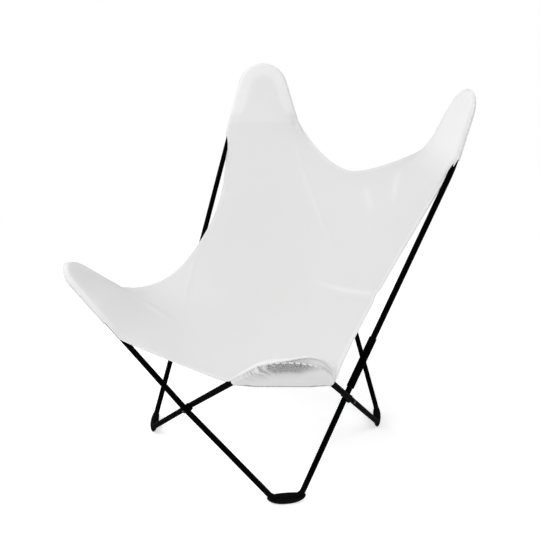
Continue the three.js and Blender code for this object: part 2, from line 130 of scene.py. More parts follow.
class Finish:  # the nodes of one material, or of the world
    def __init__(self, holder):
        holder.use_nodes = True
        self.holder = holder
        self.tree = holder.node_tree
        self.shader = self.tree.nodes.get("Principled BSDF")

    def node(self, kind, sockets=None, **settings):
        made = self.tree.nodes.new(kind)
        for key, value in settings.items():
            setattr(made, key, value)
        for key, value in (sockets or {}).items():
            self.feed(made.inputs[key], value)
        return made

    def feed(self, socket, value):
        if isinstance(value, Wire):
            self.tree.links.new(value.socket, socket)
        else:
            socket.default_value = value

    def wire(self, kind, output, sockets=None, **settings):
        return Wire(self, self.node(kind, sockets, **settings).outputs[output])

    def place(self):
        return self.wire("ShaderNodeTexCoord", "Object")

    def noise(self, scale, detail, place=None):
        sockets = {"Scale": scale, "Detail": detail, "Vector": place or self.place()}
        return self.wire("ShaderNodeTexNoise", "Fac", sockets)

    def painted(self, name):  # a float attribute of the mesh
        return self.wire("ShaderNodeAttribute", "Fac", attribute_name=name)

    def tint(self, share, low, high):  # low is a colour, or a wire that carries one
        low = low if isinstance(low, Wire) else (*low, 1)
        return self.wire("ShaderNodeMix", 2, {0: share, 6: low, 7: (*high, 1)}, data_type="RGBA")

    def set(self, **values):
        for name, value in values.items():
            self.feed(self.shader.inputs[name.replace("_", " ")], value)

    def bump(self, height, values):
        sockets = {"Height": height, "Strength": values["bump"], "Distance": values["depth"]}
        self.set(Normal=self.wire("ShaderNodeBump", "Normal", sockets))

    def seen(self):  # one for rays that come from the camera, straight, by gloss or through glass
        light = self.node("ShaderNodeLightPath")
        straight, gloss, through = (Wire(self, light.outputs[f"Is {word} Ray"])
                                    for word in ("Camera", "Glossy", "Transmission"))
        return straight.most(gloss).most(through)

    def whites(self, kind, *strengths):
        return [self.wire(kind, 0, {"Color": (1, 1, 1, 1), "Strength": strength}) for strength in strengths]

    def mixed(self, share, first, second):
        return self.wire("ShaderNodeMixShader", 0, {0: share, 1: first, 2: second})

    def show(self, output, surface):
        self.feed(self.tree.nodes[output].inputs["Surface"], surface)


# Each noise in these is a scale and a detail
# The cloth's tones, with a paler colour for painted highlights and a grey for painted shade
canvas = dict(pale=(0.775, 0.775, 0.773), deep=(0.735, 0.735, 0.733), layers=(0.88, 0.88, 0.878),
              wornAndShaded=(0.17, 0.17, 0.17), yarn=0.0008, slubs=(900.0, 2.0), clouds=(7.0, 4.0),
              speckle=(430.0, 2.0), contrast=2.2, speckleCut=0.42, bump=0.22, depth=0.0003)


def canvasLook(look):
    flat = look.wire("ShaderNodeUVMap", "UV", uv_map="weave")
    split = look.node("ShaderNodeSeparateXYZ", {"Vector": flat})
    warp, weft = (Wire(look, split.outputs[axis]) * (1 / canvas["yarn"]) for axis in "XY")
    overUnder = (warp.floor() + weft.floor()) % 2
    warpRound, weftRound = (abs((yarn * math.pi).sine()) for yarn in (warp, weft))
    weave = warpRound * overUnder + weftRound * (1 - overUnder)
    slubs = look.noise(*canvas["slubs"], flat)
    cloudy = look.noise(*canvas["clouds"])
    # Painted shade: a grey speckled mark on the loose pocket, under its rim, in its gather grooves and on its
    # mouth hem
    shadeSpeckle = (look.noise(*canvas["speckle"], flat) * canvas["contrast"] - canvas["speckleCut"]).clamped()
    colour = look.tint(cloudy * 0.5 + weave * 0.3 + slubs * 0.2, canvas["deep"], canvas["pale"])
    # painted light: paler where the cloth carries painted highlights
    colour = look.tint(look.painted("layers"), colour, canvas["layers"])
    colour = look.tint(look.painted("rub") * shadeSpeckle, colour, canvas["wornAndShaded"])
    look.set(Base_Color=colour, Roughness=0.82 + slubs * 0.14, Specular_IOR_Level=0.25)
    look.set(Sheen_Weight=0.15, Sheen_Roughness=0.5)
    look.bump(weave + slubs * 0.6, canvas)


sewing = dict(pale=(0.90, 0.90, 0.89), deep=(0.86, 0.86, 0.85), twist=420.0, bump=0.3, depth=0.0002)


def threadLook(look):
    sockets = {"Scale": sewing["twist"], "Distortion": 1.0, "Vector": look.place()}
    twist = look.wire("ShaderNodeTexWave", "Fac", sockets, bands_direction="DIAGONAL")
    look.set(Base_Color=look.tint(twist, sewing["deep"], sewing["pale"]), Roughness=0.7 + twist * 0.1)
    look.bump(twist, sewing)


paint = dict(black=(0.0012, 0.0012, 0.0013), grey=(0.0022, 0.0022, 0.0024), wornAndShaded=(0.012, 0.012, 0.013),
             grain=(1400.0, 2.0), patches=(18.0, 4.0), wear=(160.0, 4.0), bump=0.12, depth=0.0002)


def paintLook(look):
    grain, patchy = look.noise(*paint["grain"]), look.noise(*paint["patches"])
    rub = look.painted("rub") * look.noise(*paint["wear"])
    colour = look.tint(rub, look.tint(patchy, paint["black"], paint["grey"]), paint["wornAndShaded"])
    look.set(Base_Color=colour, Roughness=0.56 + patchy * 0.14 - rub * 0.08, Specular_IOR_Level=0.003)
    look.bump(grain + patchy * 0.4, paint)


moulded = dict(black=(0.0012, 0.0012, 0.0014), bounceLit=(0.005, 0.005, 0.006), grain=(900.0, 3.0),
               bouncePatches=(55.0, 5.0), bump=0.15, depth=0.0002)


def mouldedLook(look):
    # The shoe is painted lighter towards the floor, a painted stand-in for light bounced up from the floor
    grain, floorBounce = look.noise(*moulded["grain"]), look.painted("rub") * look.noise(*moulded["bouncePatches"])
    look.set(Base_Color=look.tint(floorBounce, moulded["black"], moulded["bounceLit"]))
    look.set(Roughness=0.44 + grain * 0.12 + floorBounce * 0.2, Specular_IOR_Level=0.02)
    look.bump(grain, moulded)


blackened = dict(dark=(0.012, 0.012, 0.013), light=(0.045, 0.045, 0.047), grain=(700.0, 3.0),
                 bump=0.1, depth=0.0002)


def steelLook(look):
    grain = look.noise(*blackened["grain"])
    look.set(Base_Color=look.tint(grain, blackened["dark"], blackened["light"]))
    look.set(Metallic=0.85, Roughness=0.36 + grain * 0.16)
    look.bump(grain, blackened)


def newFinish(name, dress):
    look = Finish(bpy.data.materials.new(name))
    dress(look)
    return look.holder


looks = dict(canvas=canvasLook, sewing_thread=threadLook, frame_paint=paintLook, sleeve_paint=paintLook,
             moulded_plastic=mouldedLook, blackened_steel=steelLook)
finishes = {name: newFinish(name, dress) for name, dress in looks.items()}
print("finishes made:", ", ".join(finishes))


# Meshes

askew = np.array([0.31, 0.52, 0.79])  # a direction that no rod or bolt lies along
hairline = 1e-6  # points closer than this are one point


def unit(vectors):
    return vectors / np.linalg.norm(vectors, axis=-1, keepdims=True)


def squareTo(along, vectors):  # what is left of vectors beside a direction
    return unit(vectors - along * np.sum(vectors * along, axis=-1, keepdims=True))


def turnedTo(way, vectors):  # vectors that point the other way are turned round
    return vectors * np.sign(np.sum(vectors * way, axis=-1, keepdims=True))


def smoothStep(low, high, value):
    share = np.clip((value - low) / (high - low), 0, 1)
    return share * share * (3 - 2 * share)


def bell(value, middle, width, power=2):  # one at the middle, fading to both sides
    return np.exp(-((value - middle) / width) ** power)


def upFrom(low, share):  # from low to one
    return low + (1 - low) * share


def runLengths(points):
    return np.concatenate([[0], np.cumsum(np.linalg.norm(np.diff(points, axis=0), axis=1))])


def pointsAt(runs, line, at):  # points of a line, at distances that lie among its own
    return np.stack([np.interp(at, runs, line[:, axis]) for axis in range(3)], axis=-1)


def roundAngles(count):
    return 2 * np.pi * np.arange(count) / count


def circle(across, beside, count):
    angles = roundAngles(count)[:, None]
    return np.cos(angles) * across[..., None, :] + np.sin(angles) * beside[..., None, :]


def padded(values, count):  # with zeros behind the values
    return np.pad(values, (0, count - len(values)))


class Shape:  # points, faces and what is painted on them, gathered before they become one mesh
    def __init__(self, *first, **paint):
        self.points, self.faces, self.weave, self.paint = [], [], [], {}
        if first:
            self.add(*first, **paint)

    def add(self, points, faces, weave=None, **paint):
        first = len(self.points)
        self.points.extend(np.asarray(points, float).reshape(-1, 3))
        self.faces.extend([tuple(first + i for i in face) for face in faces])
        count = len(self.points) - first
        self.weave.extend(np.zeros((count, 2)) if weave is None else np.asarray(weave).reshape(-1, 2))
        for name, values in paint.items():
            held = padded(self.paint.get(name, ()), first)
            self.paint[name] = np.concatenate([held, np.broadcast_to(values, (count,))])
        return first


def paintMesh(mesh, name, values):
    mesh.attributes.new(name, "FLOAT", "POINT").data.foreach_set("value", values)


def addPiece(name, shape, slot, body="frame", replaced=(), finish=None, weld=0.0, sharp=40):
    mesh = bpy.data.meshes.new(name)
    mesh.from_pydata([tuple(point) for point in shape.points], [], shape.faces)
    for key, values in shape.paint.items():
        paintMesh(mesh, key, padded(values, len(shape.points)))
    corner = np.zeros(len(mesh.loops), int)
    mesh.loops.foreach_get("vertex_index", corner)
    mesh.uv_layers.new(name="weave").data.foreach_set("uv", np.array(shape.weave)[corner].ravel())
    edit = bmesh.new()
    edit.from_mesh(mesh)
    if weld:
        bmesh.ops.remove_doubles(edit, verts=edit.verts, dist=weld)
        bmesh.ops.dissolve_degenerate(edit, edges=edit.edges, dist=weld)
    bmesh.ops.recalc_face_normals(edit, faces=edit.faces)
    edit.to_mesh(mesh)
    edit.free()
    mesh.shade_smooth()
    mesh.set_sharp_from_angle(angle=math.radians(sharp))
    mesh.materials.append(finishes[finish or slot])
    piece = newObject(name, mesh)
    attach(piece, body)
    if replaced:
        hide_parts(*replaced)
    return piece


def modify(piece, *steps):  # each step is a modifier's type and settings, and all become part of the mesh
    for kind, settings in steps:
        modifier = piece.modifiers.new(kind, kind)
        for key, value in settings.items():
            setattr(modifier, key, value)
    bpy.context.view_layer.update()
    solid = bpy.data.meshes.new_from_object(piece.evaluated_get(bpy.context.evaluated_depsgraph_get()))
    piece.modifiers.clear()
    piece.data = solid


def gridFaces(rows, columns, closed=False, looped=False):
    faces = []
    for row in range(rows if looped else rows - 1):
        for column in range(columns if closed else columns - 1):
            a, b = row * columns + column, row * columns + (column + 1) % columns
            faces.append([corner % (rows * columns) for corner in (a, b, b + columns, a + columns)])
    return faces


def cappedFaces(rings, sides):  # a tube with both its ends shut
    last = (rings - 1) * sides
    return gridFaces(rings, sides, closed=True) + [range(sides), range(last, last + sides)]


def turned(profile, start, direction, segments):  # a profile of (radius, height) turned about an axis
    across = unit(np.cross(direction, askew))
    ring = circle(across, np.cross(direction, across), segments)
    points = [start + height * direction + radius * ring for radius, height in profile]
    return np.concatenate(points), gridFaces(len(profile), segments, closed=True)


# Frame skeleton, in the chair's own sizes

rods = dict(radius=0.007, hoopRadius=0.060, footBend=0.022, crossBend=0.150, earBend=0.300, sides=24,
            bendStep=5, span=0.05, wearAndLightHeight=0.06)
feet = dict(frontX=0.240, frontY=0.232, backX=0.210, backY=0.197, run=0.070, frontTurn=48, backTurn=54,
            rise=0.019)
peaks = dict(front=(0.411, -0.426, 0.560), back=(0.400, 0.396, 1.062),
             earLength=0.360, earInward=0.035, earForward=0.040)
joints = dict(spacer=0.004, sleeveRise=0.025, sleeveLength=0.130, gap=0.0006, fit=0.0003)

shoeLow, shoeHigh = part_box("front_right_shoe")
depthShift = np.array([0, (shoeLow.y + shoeHigh.y) / 2 + feet["frontY"], 0])


def footCorner(side, isFront, leadsToSide):
    word, outward = endWord[isFront], -1 if isFront else 1
    turn = math.radians(feet[f"{word}Turn"])
    run = np.array([-side * math.cos(turn), outward * math.sin(turn), 0])
    middle = np.array([side * feet[f"{word}X"], outward * feet[f"{word}Y"], feet["rise"]])
    return middle + depthShift + run * feet["run"] * (-0.5 if leadsToSide else 0.5)


def peakCorner(side, isFront):
    return np.array(peaks[endWord[isFront]]) * (side, 1, 1) + depthShift


def crossing(one, other, outward):  # of the rods that rise from two feet to each other's peaks
    leadsToSide = one[0] == other[0]
    starts = footCorner(*one, leadsToSide), footCorner(*other, leadsToSide)
    lines = unit(peakCorner(*other) - starts[0]), unit(peakCorner(*one) - starts[1])
    across = turnedTo(outward, unit(np.cross(*lines)))
    between, cosine = starts[1] - starts[0], np.dot(*lines)
    shares = np.dot(between, lines[0]), np.dot(between, lines[1])
    runs = shares[0] - cosine * shares[1], cosine * shares[0] - shares[1]
    nearest = [start + line * (run / (1 - cosine ** 2)) for start, line, run in zip(starts, lines, runs)]
    middle = (nearest[0] + nearest[1]) / 2
    half = rods["radius"] + joints["spacer"] / 2
    return dict(across=across, middle=middle, outer=middle + across * half, inner=middle - across * half)


crossings = dict(front=crossing((right, True), (left, True), (0, -1, 0)),
                 back=crossing((right, False), (left, False), (0, 1, 0)),
                 right=crossing((right, True), (right, False), (1, 0, 0)),
                 left=crossing((left, True), (left, False), (-1, 0, 0)))


def loopOf(side):
    own, other = crossings[sideWord[side]], crossings[sideWord[-side]]
    frontCross = crossings["front"]["outer" if side == right else "inner"]
    backCross = crossings["back"]["inner" if side == right else "outer"]
    peak = peakCorner(side, False)
    sideUp, backUp = unit(peak - own["inner"]), unit(peak - backCross)
    ear = peak + (-side * peaks["earInward"], -peaks["earForward"], 0)
    return dict(sideCross=own["inner"], lowCross=other["outer"], frontCross=frontCross, backCross=backCross,
                sideUp=sideUp, backUp=backUp, ear=ear,
                sideEar=peak - sideUp * peaks["earLength"], backEar=peak - backUp * peaks["earLength"])


loops = {side: loopOf(side) for side in sideWord}
jointRise = joints["sleeveRise"] + joints["sleeveLength"] / 2


def lowerCorners(side):  # each with its bend
    loop, end = loops[side], jointRise - joints["gap"] / 2
    foot, cross = rods["footBend"], rods["crossBend"]
    return [(loop["sideCross"] + loop["sideUp"] * end, 0), (loop["sideCross"], cross),
            (footCorner(side, True, True), foot), (footCorner(side, True, False), foot),
            (loop["frontCross"], cross), (peakCorner(-side, True), rods["hoopRadius"]),
            (loop["lowCross"], cross),
            (footCorner(-side, False, True), foot), (footCorner(-side, False, False), foot),
            (loop["backCross"], cross), (loop["backCross"] + loop["backUp"] * end, 0)]


def hoopCorners(side):
    loop, start = loops[side], jointRise + joints["gap"] / 2
    return [(loop["sideCross"] + loop["sideUp"] * start, 0), (loop["sideEar"], rods["earBend"]),
            (loop["ear"], rods["hoopRadius"]),
            (loop["backEar"], rods["earBend"]), (loop["backCross"] + loop["backUp"] * start, 0)]


def rodPath(corners, step):  # straight runs and rounded corners, with no span longer than a step
    path = [corners[0][0]]
    for (before, _), (corner, radius), (after, _) in zip(corners, corners[1:], corners[2:]):
        arriving, leaving = unit(corner - before), unit(after - corner)
        angle = math.acos(np.clip(np.dot(arriving, leaving), -1, 1))
        inward = squareTo(arriving, leaving)
        bendStart = corner - arriving * radius * math.tan(angle / 2)
        steps = max(2, math.ceil(math.degrees(angle) / rods["bendStep"]))
        for turnedBy in angle * np.arange(steps + 1) / steps:
            path.append(bendStart + arriving * radius * math.sin(turnedBy)
                        + inward * radius * (1 - math.cos(turnedBy)))
    path.append(corners[-1][0])
    spans = [path[:1]]
    for start, end in zip(path, path[1:]):
        count = max(1, math.ceil(np.linalg.norm(end - start) / step))
        spans.append(start + (end - start) * (np.arange(1, count + 1) / count)[:, None])
    return np.concatenate(spans)


def rodTube(corners, radius):  # a direction square to the path is carried along it without twist
    path = rodPath(corners, rods["span"])
    tangents = unit(np.gradient(path, axis=0))
    normals = [np.cross(tangents[0], askew)]
    for tangent in tangents:
        normals.append(squareTo(tangent, normals[-1]))
    ring = circle(np.array(normals[1:]), np.cross(tangents, normals[1:]), rods["sides"])
    return (path[:, None] + radius * ring).reshape(-1, 3), cappedFaces(len(path), rods["sides"])


def addRods():
    for side in sideWord:
        for word, corners in (("lower_rod", lowerCorners(side)), ("back_hoop", hoopCorners(side))):
            points, faces = rodTube(corners, rods["radius"])
            shape = Shape(points, faces, rub=np.clip(1 - points[:, 2] / rods["wearAndLightHeight"], 0, 1))
            name = f"{sideWord[side]}_{word}"
            addPiece(f"{name}_bar", shape, "frame_paint", replaced=[name])


addRods()
print("rods bent")

sleeves = dict(wall=0.002, chamfer=0.0009, roundSteps=5, rings=(0.05, 0.2, 0.5, 0.8, 0.95), rubbedEnd=0.004,
               segments=40)


def addSleeves():
    bore, chamfer, length = rods["radius"] + joints["fit"], sleeves["chamfer"], joints["sleeveLength"]
    outside = bore + sleeves["wall"]
    rounding = [(outside - chamfer * (1 - math.sin(a)), chamfer * (1 - math.cos(a)))
                for a in np.linspace(0, math.pi / 2, sleeves["roundSteps"])]
    middle = [(outside, length * share) for share in sleeves["rings"]]
    top = [(radius, length - height) for radius, height in reversed(rounding)]
    profile = [(bore, 0)] + rounding + middle + top + [(bore, length), (bore, 0)]
    heights = np.repeat([height for _, height in profile], sleeves["segments"])
    rub = np.clip(1 - np.minimum(heights, length - heights) / sleeves["rubbedEnd"], 0, 1)
    for side, word in sideWord.items():
        for place in ("side", "back"):
            up, name = loops[side][f"{place}Up"], f"{word}_{place}"
            start = loops[side][f"{place}Cross"] + up * joints["sleeveRise"]
            shape = Shape(*turned(profile, start, up, sleeves["segments"]), rub=rub)
            addPiece(f"{name}_sleeve_tube", shape, "sleeve_paint", f"{name}_coupler", [f"{name}_sleeve"],
                     weld=hairline)


addSleeves()
print("sleeves turned")

bolts = dict(shank=0.0025, head=0.00475, headHeight=0.0028, rim=0.0012, edge=0.0002, crown=1.22, domeSteps=7,
             socket=0.0015, socketDepth=0.0015, tail=0.001, tip=0.0005, tipShare=0.8, segments=48, sharp=40)
nuts = dict(half=0.004, height=0.004, chamfer=0.0006, trim=1.03, play=0.0002, sharp=25)
hardwareSeat = 2 * rods["radius"] + joints["spacer"] / 2 + joints["fit"]


def boltProfile():
    head, shank, seat = bolts["head"], bolts["shank"], hardwareSeat
    dome = [(head * math.cos(a), seat + bolts["rim"] + (bolts["headHeight"] - bolts["rim"]) * math.sin(a))
            for a in np.linspace(0, bolts["crown"], bolts["domeSteps"])]
    top, tail = dome[-1][1], -seat - nuts["height"] - bolts["tail"]
    socketFloor = top - bolts["socketDepth"]
    return ([(0, tail), (shank * bolts["tipShare"], tail), (shank, tail + bolts["tip"]), (shank, seat),
             (head - bolts["edge"], seat), (head, seat + bolts["edge"])] + dome
            + [(bolts["socket"], top), (bolts["socket"], socketFloor), (0, socketFloor)])


def nutProfile():
    angles = roundAngles(bolts["segments"])
    hexagon = nuts["half"] / np.cos(angles % (np.pi / 3) - np.pi / 6)
    trimmed = np.minimum(hexagon, nuts["half"] * nuts["trim"])
    bore = np.full_like(angles, bolts["shank"] + nuts["play"])
    height, chamfer = nuts["height"], nuts["chamfer"]
    rings = [(bore, 0), (trimmed, 0), (hexagon, chamfer), (hexagon, height - chamfer), (trimmed, height),
             (bore, height), (bore, 0)]
    return [(radii[:, None], -hardwareSeat - depth) for radii, depth in rings]


def addHardware():
    kinds = (("bolt", "turned", boltProfile(), bolts), ("nut", "hex", nutProfile(), nuts))
    for place, cross in crossings.items():
        for word, cut, profile, sizes in kinds:
            shape = Shape(*turned(profile, cross["middle"], cross["across"], bolts["segments"]))
            addPiece(f"{place}_{word}_{cut}", shape, "blackened_steel", replaced=[f"{place}_{word}"],
                     weld=hairline, sharp=sizes["sharp"])


addHardware()
print("bolts and nuts turned")


# Pieces cut round the rods

def cutAway(piece, tools):
    modify(piece, *[("BOOLEAN", dict(object=tool, operation="DIFFERENCE", solver="EXACT")) for tool in tools])


def clearanceTube(side):
    shape = Shape(*rodTube(lowerCorners(side), rods["radius"] + joints["fit"]))
    return addPiece(f"{sideWord[side]}_clearance", shape, "moulded_plastic")


shoes = dict(length=0.094, width=0.021, lip=0.003, soleShare=0.5, voxel=0.0006, softness=0.5, softening=3,
             rings=30, segments=96, wearAndLightHeight=0.008)


def addShoe(side, isFront, tool):
    name = f"{endWord[isFront]}_{sideWord[side]}_shoe"
    sideBend, crossBend = footCorner(side, isFront, True), footCorner(side, isFront, False)
    middle, run = (sideBend + crossBend) / 2, unit(crossBend - sideBend)
    keel = feet["rise"] / math.sqrt(1 - shoes["soleShare"] ** 2)
    beside = np.array([-run[1], run[0], 0])
    ring = circle(run * shoes["length"] / 2, beside * shoes["width"] / 2, shoes["segments"])
    heights = np.linspace(0, feet["rise"] + shoes["lip"], shoes["rings"])[:, None, None]
    shares = np.sqrt(1 - ((heights - feet["rise"]) / keel) ** 2)
    points = middle * (1, 1, 0) + heights * (0, 0, 1) + shares * ring
    shape = Shape(points, cappedFaces(shoes["rings"], shoes["segments"]))
    piece = addPiece(f"{name}_boat", shape, "moulded_plastic", replaced=[name])
    cutAway(piece, [tool])
    modify(piece, ("REMESH", dict(mode="VOXEL", voxel_size=shoes["voxel"])),
           ("SMOOTH", dict(factor=shoes["softness"], iterations=shoes["softening"])))
    piece.data.shade_smooth()
    places = np.zeros(len(piece.data.vertices) * 3)
    piece.data.vertices.foreach_get("co", places)
    # the lowest part is painted lighter, a painted stand-in for light bounced up from the floor
    paintMesh(piece.data, "rub", np.clip(1 - places[2::3] / shoes["wearAndLightHeight"], 0, 1))


spacers = dict(radius=0.010, saddle=0.003, edge=0.0008, segments=64, sharp=35)


def addSpacer(place, tools):
    cross = crossings[place]
    half, radius, edge = joints["spacer"] / 2 + spacers["saddle"], spacers["radius"], spacers["edge"]
    profile = [(0, -half), (radius - edge, -half), (radius, edge - half),
               (radius, half - edge), (radius - edge, half), (0, half)]
    shape = Shape(*turned(profile, cross["middle"], cross["across"], spacers["segments"]))
    piece = addPiece(f"{place}_spacer_saddle", shape, "moulded_plastic", replaced=[f"{place}_spacer"],
                     weld=hairline)
    cutAway(piece, tools)
    piece.data.set_sharp_from_angle(angle=math.radians(spacers["sharp"]))


def addCutPieces():
    tools = {side: clearanceTube(side) for side in sideWord}
    for side in sideWord:
        addShoe(side, True, tools[side])
        addShoe(side, False, tools[-side])
    for place in crossings:
        addSpacer(place, list(tools.values()))
    for tool in tools.values():
        bpy.data.objects.remove(tool)


addCutPieces()
print("shoes and spacers cut")


# Sling

sling = dict(thickness=0.0015, ease=0.0015, frontDepth=0.190, backDepth=0.200, columns=24, rows=32,
             pocketShare=6, fine=5, hang=0.140, netDrop=0.42, border=0.015, borderSteps=8, curl=0.045,
             flange=0.0015, flangeStart=0.6, liftStart=0.2, wrapSpeed=1.35, hoopSpan=0.02, tangentReach=0.004,
             lookIn=3, easings=(0, 12, 6), firstRelax=(400, 1.8), fineRelax=(60, 1.8), lastRelax=(300, 1.9))
clothOffset = rods["radius"] + sling["ease"] + sling["thickness"] / 2

# Corners in the order of a walk round the sling's edge, and the free edge that follows each: how far it hangs
# below the straight line, how flat its curve is, and how far its lowest point lies towards one end
corners = [(True, left), (True, right), (False, right), (False, left)]
freeEdges = [
    dict(sag=(0, 0.0260, -0.0266), flatness=4.64, skew=-0.334),
    dict(sag=(-0.0659, 0.0279, -0.0959), flatness=2.47, skew=0.028),
    dict(sag=(0, -0.0376, -0.0986), flatness=1.60, skew=-0.118),
    dict(sag=(0.0659, 0.0279, -0.0959), flatness=2.47, skew=-0.028),
]
# How far the sling stays on each hoop past the mouth of its pocket: on the side leg, on the front or back leg
holds = {(True, right): (0.000, 0.004), (True, left): (0.008, 0.056),
         (False, right): (-0.020, 0.000), (False, left): (0.030, 0.000)}
# One pocket hangs loose: its rim stands out from the hoop as a flange and is lifted towards the sitter
loosePocket = (True, right)
loose = dict(flange=0.0085, height=0.014, place=-0.085, length=0.070,
             lift=0.010, liftPlace=-0.035, liftLength=0.032)


class Hoop:  # distance 0 is the peak, minus runs down the side leg, plus down the front or back leg
    def __init__(self, isFront, side):
        bends = [lowerCorners(-side)[i] for i in (6, 5, 4)] if isFront else hoopCorners(side)
        self.bar = f"{sideWord[-side]}_lower_rod_bar" if isFront else f"{sideWord[side]}_back_hoop_bar"
        self.path = rodPath(bends, sling["hoopSpan"])
        self.runs = runLengths(self.path)
        peak = bends[len(bends) // 2][0]
        self.runs -= self.runs[np.argmin(np.linalg.norm(self.path - peak, axis=1))]
        self.depth = sling[f"{endWord[isFront]}Depth"]
        self.reach = {leg: self.depth + hold for leg, hold in zip((-1, 1), holds[isFront, side])}
        self.isLoose = (isFront, side) == loosePocket
        tip, sideArm, crossArm = self.at(0), self.at(-self.depth), self.at(self.depth)
        self.facing = turnedTo((0, 0, peaks["back"][2]) - tip, unit(np.cross(sideArm - tip, crossArm - tip)))
        self.middle = (sideArm + crossArm) / 2

    def at(self, distance):
        return pointsAt(self.runs, self.path, distance)

    def outward(self, distance):
        tangent = unit(self.at(distance + sling["tangentReach"]) - self.at(distance - sling["tangentReach"]))
        return turnedTo(self.at(distance) - self.middle, unit(np.cross(tangent, self.facing)))

    def slack(self, distance):
        return self.isLoose * bell(distance, loose["place"], loose["length"])

    def lift(self, distance):
        return self.isLoose * loose["lift"] * bell(distance, loose["liftPlace"], loose["liftLength"])

    def clothAt(self, distance, turn):  # turn 0 is the sitter's side, 90 the outside, 180 the back
        angle = np.radians(turn)[..., None]
        standOff = clothOffset + loose["height"] * self.slack(distance)
        outside = self.outward(distance) * np.sin(angle) * standOff[..., None]
        return self.at(distance) + self.facing * np.cos(angle) * clothOffset + outside

    def borderAt(self, distance, share):  # the cloth between the rod's front, share 0, and the rim, share 1
        distance, share = np.broadcast_arrays(distance, share)
        turn = 90 * np.sin(np.clip(share * sling["wrapSpeed"], 0, 1) * np.pi / 2)
        flange = sling["flange"] + loose["flange"] * self.slack(distance)
        flange = flange * smoothStep(sling["flangeStart"], 1, share)
        lifted = self.facing * (self.lift(distance) * smoothStep(sling["liftStart"], 1, share))[..., None]
        return self.clothAt(distance, turn) + self.outward(distance) * flange[..., None] + lifted


hoops = {corner: Hoop(*corner) for corner in corners}
columns, rows = sling["columns"] * sling["fine"], sling["rows"] * sling["fine"]


def eased(values, passes):
    for _ in range(passes):
        values = (np.roll(values, 1, 0) + 2 * values + np.roll(values, -1, 0)) / 4
    return values


class Outline:  # the sling's edge once round, with each point's hoop and its distance from the hoop's peak
    def __init__(self, fine):
        self.high, self.wide = sling["rows"] * fine, sling["columns"] * fine
        across, along = np.arange(self.wide), np.arange(self.high)
        self.row = np.concatenate([0 * across, along, 0 * across + self.high, self.high - along])
        self.column = np.concatenate([across, 0 * along + self.wide, self.wide - across, 0 * along])
        self.index = self.row, self.column
        self.outRow = (self.row == self.high) * 1 - (self.row == 0)
        self.outColumn = (self.column == self.wide) * 1 - (self.column == 0)
        parts = [self.oneSide(number, sling["pocketShare"] * fine) for number in range(4)]
        self.rim, self.holder, self.distance, *ends = (np.concatenate(values) for values in zip(*parts))
        side = np.concatenate([np.full(len(part[0]), number) for number, part in enumerate(parts)])
        isFree = self.holder < 0
        self.curls = [((number + end) % 4, self.leg(number), ends[end] * (isFree & (side == number)))
                      for end in (0, 1) for number in range(4)]
        self.rim = self.strip(0 * self.rim, 1)

    def leg(self, number):  # the front and the back edge run down the plus legs of their hoops
        return 1 if number % 2 == 0 else -1

    def oneSide(self, number, pocket):
        leg, ends = self.leg(number), (number, (number + 1) % 4)
        reaches = [hoops[corners[end]].reach[leg] for end in ends]
        start, end = (hoops[corners[end]].borderAt(leg * reach, 1) for end, reach in zip(ends, reaches))
        count, edge = (self.wide if leg > 0 else self.high), freeEdges[number]
        steps = np.arange(count)
        share = np.clip((steps - pocket) / (count - 2 * pocket), 0, 1)
        weight = (1 - np.abs(2 * share - 1) ** edge["flatness"]) * (1 + edge["skew"] * (1 - 2 * share))
        rim = start + (end - start) * share[:, None] + np.array(edge["sag"]) * weight[:, None]
        holder = np.where(steps <= pocket, ends[0], np.where(steps >= count - pocket, ends[1], -1))
        distance = np.where(steps <= pocket, reaches[0] * steps, reaches[1] * (count - steps)) * leg / pocket
        curl = sling["curl"] / np.linalg.norm(end - start)
        return rim, holder, distance, bell(share, 0, curl), bell(share, 1, curl)

    def outward(self, net):  # away from the cloth in its own plane
        inner = self.row - self.outRow * sling["lookIn"], self.column - self.outColumn * sling["lookIn"]
        tangent = unit(np.roll(self.rim, -1, 0) - np.roll(self.rim, 1, 0))
        out = squareTo(tangent, net[self.index] - net[inner])
        for passes in sling["easings"]:
            out = unit(eased(out, passes))
            for number, corner in enumerate(corners):
                held = self.holder == number
                out[held] = hoops[corner].outward(self.distance[held])
        return out

    def strip(self, out, share):  # points between the rods' front sides, share 0, and the rim, share 1
        points = self.rim - out * sling["border"] * (1 - share)
        for number, leg, weight in self.curls:  # the cloth keeps the rod's round for a while
            hoop = hoops[corners[number]]
            mouth = leg * hoop.reach[leg]
            flat = hoop.borderAt(mouth, 1) - hoop.outward(mouth) * sling["border"] * (1 - share)
            points += (hoop.borderAt(mouth, share) - flat) * weight[:, None]
        for number, corner in enumerate(corners):
            held = self.holder == number
            points[held] = hoops[corner].borderAt(self.distance[held], share)
        return points


def relaxed(net, passes, pull):  # every inner point hangs a little below its four neighbours
    drop = sling["hang"] / (sling["netDrop"] * (net.shape[1] - 1) ** 2)
    row, column = np.indices(net.shape[:2])
    inner = np.zeros(net.shape[:2], bool)
    inner[1:-1, 1:-1] = True
    for colour in [0, 1] * passes:
        rest = sum(np.roll(net, step, axis) for axis in (0, 1) for step in (1, -1)) / 4
        rest[..., 2] -= drop
        moved = inner & ((row + column) % 2 == colour)
        net[moved] += pull * (rest[moved] - net[moved])
    return net


def finer(net):
    high, wide = net.shape[:2]
    across, along = np.linspace(0, wide - 1, columns + 1), np.linspace(0, high - 1, rows + 1)
    lines = np.array([pointsAt(np.arange(wide), line, across) for line in net])
    return np.stack([pointsAt(np.arange(high), lines[:, i], along) for i in range(columns + 1)], axis=1)


def slingNet():
    coarse = Outline(1)
    net = np.zeros((coarse.high + 1, coarse.wide + 1, 3)) + coarse.rim.mean(axis=0)
    net[coarse.index] = coarse.strip(0 * coarse.rim, 0)
    net = finer(relaxed(net, *sling["firstRelax"]))
    fine = Outline(sling["fine"])
    net[fine.index] = fine.strip(0 * fine.rim, 0)
    out = fine.outward(relaxed(net, *sling["fineRelax"]))
    net[fine.index] = fine.strip(out, 0)
    return relaxed(net, *sling["lastRelax"]), fine, out
